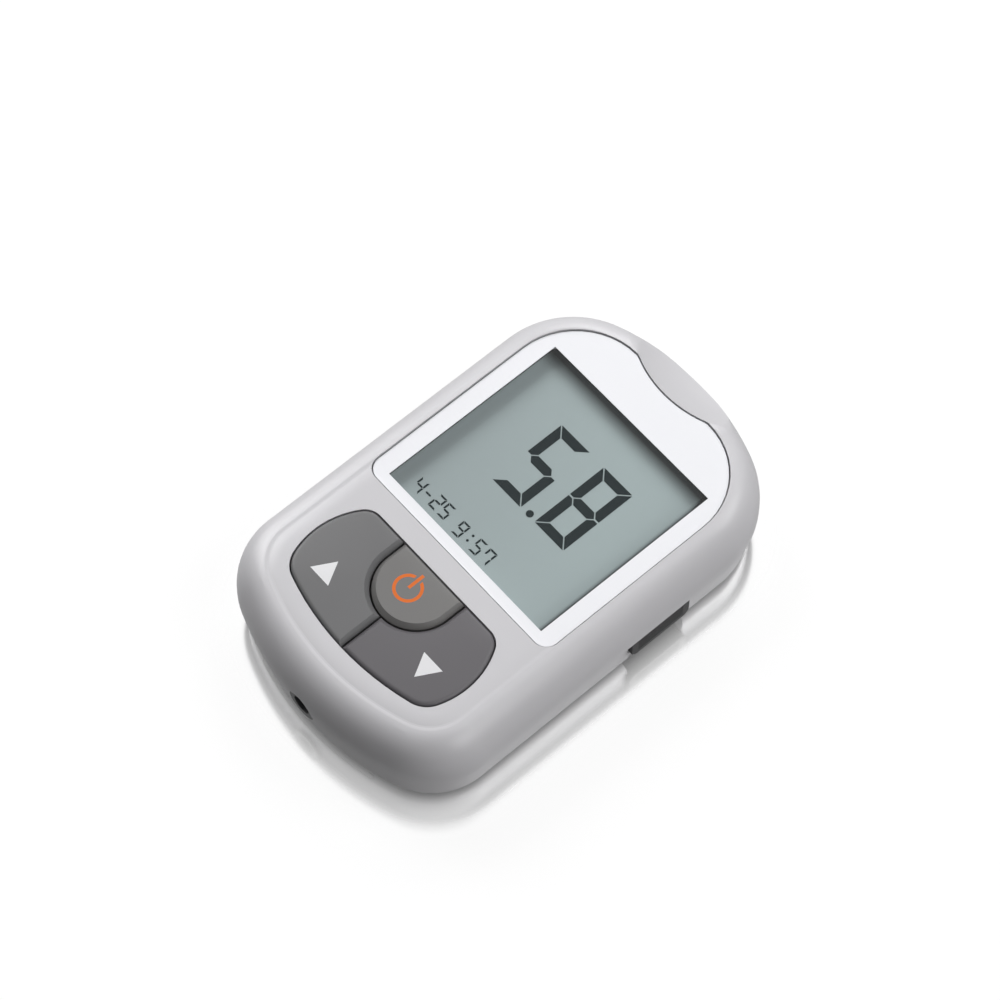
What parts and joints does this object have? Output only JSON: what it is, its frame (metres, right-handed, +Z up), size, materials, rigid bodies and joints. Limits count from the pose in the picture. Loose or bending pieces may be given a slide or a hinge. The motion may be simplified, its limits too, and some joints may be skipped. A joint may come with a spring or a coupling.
{
  "type": "blood glucose meter",
  "caption": "Hand-held blood glucose meter with a display window, soft keys, a strip port under a dished lip, a side code chip, a data jack and a battery door.",
  "frame": {"origin": "centre of the footprint, on the surface the meter rests on", "axes": "+Y towards the test strip end, +Z up out of the display, +X towards the code chip's side"},
  "size_m": [0.0556, 0.0878, 0.0189],
  "materials": {
    "housing": "satin",
    "lower_shell": "satin",
    "window": "polished",
    "white_print": "gloss",
    "foam": "matte",
    "display_glass": "polished",
    "reflector": "satin",
    "white_plastic": "matte",
    "elastomer": "matte",
    "keys": "matte",
    "carbon": "matte",
    "board": "satin",
    "steel": "brushed",
    "spring_steel": "polished",
    "black_plastic": "matte",
    "ceramic": "matte",
    "brass": "satin",
    "cell_jacket": "satin",
    "chip_plastic": "satin",
    "port_plastic": "satin",
    "gold_plate": "polished",
    "rubber": "matte"
  },
  "bodies": {
    "housing": {"upper_housing": "housing", "lower_housing": "lower_shell", "display_lens": "window", "lens_mask": "white_print", "lcd_gasket": "foam", "lcd_front_glass": "display_glass", "lcd_rear_glass": "display_glass", "lcd_reflector": "reflector", "lcd_frame": "white_plastic", "zebra_strips": "elastomer", "keypad_sheet": "keys", "main_board": "board", "board_screws": "steel", "controller_chip": "black_plastic", "memory_chip": "black_plastic", "crystal": "steel", "capacitors": "ceramic", "buzzer": "brass", "battery_left": "cell_jacket", "battery_right": "cell_jacket", "battery_springs": "spring_steel", "battery_contacts": "spring_steel", "code_socket": "black_plastic", "data_jack": "black_plastic", "strip_port": "port_plastic", "strip_connector": "white_plastic", "strip_contacts": "gold_plate", "housing_screws": "steel", "rubber_feet": "rubber"},
    "key_up": {"key_up": "keys", "pill_up": "carbon"},
    "key_power": {"key_power": "keys", "pill_power": "carbon"},
    "key_down": {"key_down": "keys", "pill_down": "carbon"},
    "code_chip": {"code_chip": "chip_plastic"},
    "battery_door": {"battery_door": "lower_shell"}
  },
  "joints": [
    {"name": "key_up", "type": "slide", "parent": "housing", "child": "key_up", "axis": [0, 0, -1], "range_m": [0, 0.0007], "stiffness_N_per_m": 1500},
    {"name": "key_power", "type": "slide", "parent": "housing", "child": "key_power", "axis": [0, 0, -1], "range_m": [0, 0.0007], "stiffness_N_per_m": 1500},
    {"name": "key_down", "type": "slide", "parent": "housing", "child": "key_down", "axis": [0, 0, -1], "range_m": [0, 0.0007], "stiffness_N_per_m": 1500},
    {"name": "code_chip", "type": "slide", "parent": "housing", "child": "code_chip", "axis": [1, 0, 0], "range_m": [0, 0.014]},
    {"name": "battery_door", "type": "slide", "parent": "housing", "child": "battery_door", "axis": [0, -1, 0], "range_m": [0, 0.067]}
  ]
}
